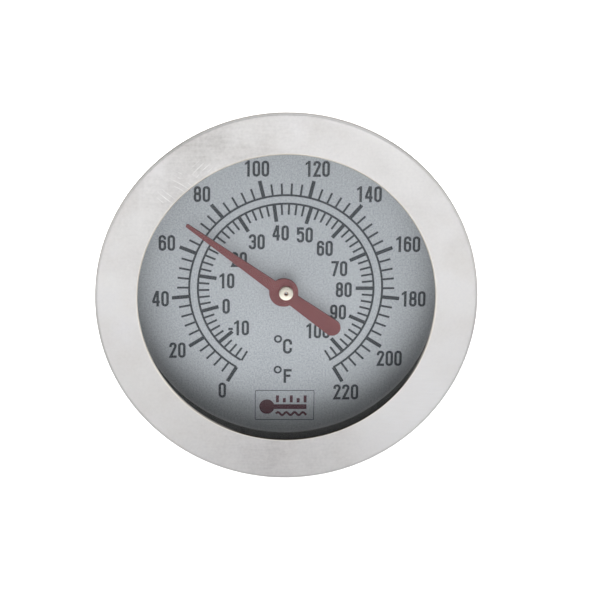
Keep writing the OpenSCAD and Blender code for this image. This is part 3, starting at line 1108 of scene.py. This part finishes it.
def studio_sky():
    """White surround, a little dimmer overhead."""
    world = bpy.data.worlds.new("studio")
    world.use_nodes = True
    tree = world.node_tree
    where = tree.nodes.new("ShaderNodeTexCoord")
    parts = tree.nodes.new("ShaderNodeSeparateXYZ")
    fade = tree.nodes.new("ShaderNodeMapRange")
    for name, value in (("From Min", 0.0), ("From Max", 0.7), ("To Min", SKY_LOW), ("To Max", SKY_HIGH)):
        fade.inputs[name].default_value = value
    tree.links.new(where.outputs["Generated"], parts.inputs[0])
    tree.links.new(parts.outputs["Z"], fade.inputs["Value"])
    tree.links.new(fade.outputs[0], tree.nodes["Background"].inputs["Strength"])
    tree.nodes["Background"].inputs["Color"].default_value = (1, 1, 1, 1)
    bpy.context.scene.world = world


def studio_light():
    """Even sky, two pools of light on the floor, low boxes for the dial and three boxes for the ring."""
    studio_sky()
    softbox("back_pool", (0, 1400, 1100), (1200, 1200), 16.0, (0, 1400, 0), 100)
    softbox("front_pool", (0, -1900, 1100), (1000, 1000), 10.0, (0, -1900, 0), 80)
    behind_glass = lit_pieces("behind_glass", BEHIND_GLASS)
    no_pointer_shadow = shadow_free("pointer_shadow_free", POINTER_PIECES)
    low, fill = (softbox(name, (10, -247, -277), (640, 290), power, AIM)
                 for name, power in (("low_front", 0.76), ("low_front_fill", 1.25)))
    low.light_linking.receiver_collection = behind_glass
    fill.light_linking.receiver_collection = behind_glass
    fill.light_linking.blocker_collection = no_pointer_shadow
    ring_only = lit_pieces("ring_only", ("bezel_ring_pressed",))
    for name, place, size, power in (("ring_top", (0, -250, 800), (1500, 1300), 1.9),
                                     ("ring_left", (-900, -250, 60), (1200, 1200), 1.3),
                                     ("ring_right", (900, -250, 60), (1200, 1200), 1.3)):
        softbox(name, place, size, power, AIM).light_linking.receiver_collection = ring_only


def lit_pieces(name, pieces):
    """Collection of the only pieces that a lamp lights."""
    group = bpy.data.collections.new(name)
    for piece in pieces:
        group.objects.link(bpy.data.objects[piece])
    return group


def shadow_free(name, pieces):
    """Collection of the pieces that cast no shadow from a lamp."""
    group = lit_pieces(name, pieces)
    for entry in group.collection_objects:
        entry.light_linking.link_state = "EXCLUDE"
    return group


def camera():
    """Long lens, a little above the dial's axis and a hair to its left; the dial sits just off the centre."""
    distance, azimuth, elevation, roll = 508.3, -1.5, 17.25, 0.6
    data = bpy.data.cameras.new("camera")
    data.sensor_width = 36
    data.lens = 149.95
    data.shift_x, data.shift_y = 0.0158, -0.0128
    data.clip_start, data.clip_end = 0.01, 50
    eye = bpy.data.objects.new("camera", data)
    turn, lift = math.radians(azimuth), math.radians(elevation)
    away = Vector((math.sin(turn) * math.cos(lift), -math.cos(turn) * math.cos(lift), math.sin(lift)))
    place = (Vector((0, DIAL_Y, 0)) + away * distance) * MM
    aim = (-away).to_track_quat("-Z", "Y").to_matrix() @ Matrix.Rotation(math.radians(roll), 3, "Z")
    eye.matrix_world = Matrix.Translation(place) @ aim.to_4x4()
    bpy.context.scene.collection.objects.link(eye)
    bpy.context.scene.camera = eye


# ---------------- assembly

def build_head():
    """Ring, glass, sleeve, dial with its print, and pointer."""
    ink = ink_look("ink_slate", (0.022, 0.027, 0.034))
    plum = ink_look("ink_plum", (0.06, 0.017, 0.027))
    settle(bezel_ring(), "case", bezel_look(), "bezel_steel", "bezel_ring")
    settle(lens(), "case", glass_look(), "lens_glass", "lens")
    settle(spacer_ring(), "case", black_plastic_look(), "black_plastic", "spacer_ring")
    settle(dial_plate(), "case", dial_look(), "dial_face", "dial_plate")
    settle(scale_print(), "case", ink, "dial_face")
    settle(mark_frame(), "case", ink, "dial_face")
    settle(mark_symbol(), "case", plum, "dial_face")
    settle(pointer(), "pointer_set", pointer_look(), "pointer_red", "pointer")
    settle(pointer_bush(), "pointer_set", bush_look(), "bush_metal", "pointer_bush")


def build_back():
    """Case, fitting, seal, washer, nut and probe with its coil."""
    drum = turned_steel("case_spun_steel", 0.64, 0.32, (5000, 1.5, 5000), 0.006)
    spigot = turned_steel("fitting_turned_steel", 0.64, 0.28)
    silicone = rubber_look("seal_silicone", (0.5, 0.09, 0.03), 0.42)
    tube = turned_steel("probe_drawn_steel", 0.66, 0.24, (300, 60.0, 150), 0.002)
    settle(case_cup(), "case", drum, "case_steel", "case_cup")
    settle(threaded_fitting(), "case", spigot, "fitting_steel", "threaded_fitting")
    settle(seal_ring(), "case", silicone, "silicone", "seal_ring")
    settle(flat_washer(), "washer", turned_steel("washer_steel", 0.66, 0.28), "washer_steel", "flat_washer")
    settle(lock_nut(), "nut", turned_steel("nut_steel", 0.64, 0.26), "nut_steel", "lock_nut")
    settle(probe_tube(), "case", tube, "probe_steel", "probe_tube")
    settle(probe_tip(), "case", tube, "probe_steel", "probe_tip")
    # The coil is still at its far end and turns with the pointer at its near one
    coil = dress(bimetal_coil(), bimetal_look())
    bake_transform(coil)
    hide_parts("bimetal_coil")


def dress_frame():
    """Materials of the CAD nodes that are shown as they are."""
    brass = brass_look()
    shaft = turned_steel("shaft_ground_steel", 0.6, 0.25, (12000, 2.0, 12000), 0.003)
    dress_node("lens_gasket", rubber_look("gasket_black", (0.02, 0.02, 0.02), 0.6))
    dress_node("dial_carrier", turned_steel("carrier_pressed_steel", 0.6, 0.36, (3000, 2.0, 3000), 0.004))
    for name in ("upper_bearing", "lower_bearing", "coil_anchor"):
        dress_node(name, brass)
    for name in ("pointer_shaft", "coil_collar"):
        dress_node(name, shaft)


build_head()
build_back()
dress_frame()
stage_floor()
studio_light()
camera()
bpy.context.scene.view_settings.view_transform = "Standard"

bpy.context.view_layer.update()
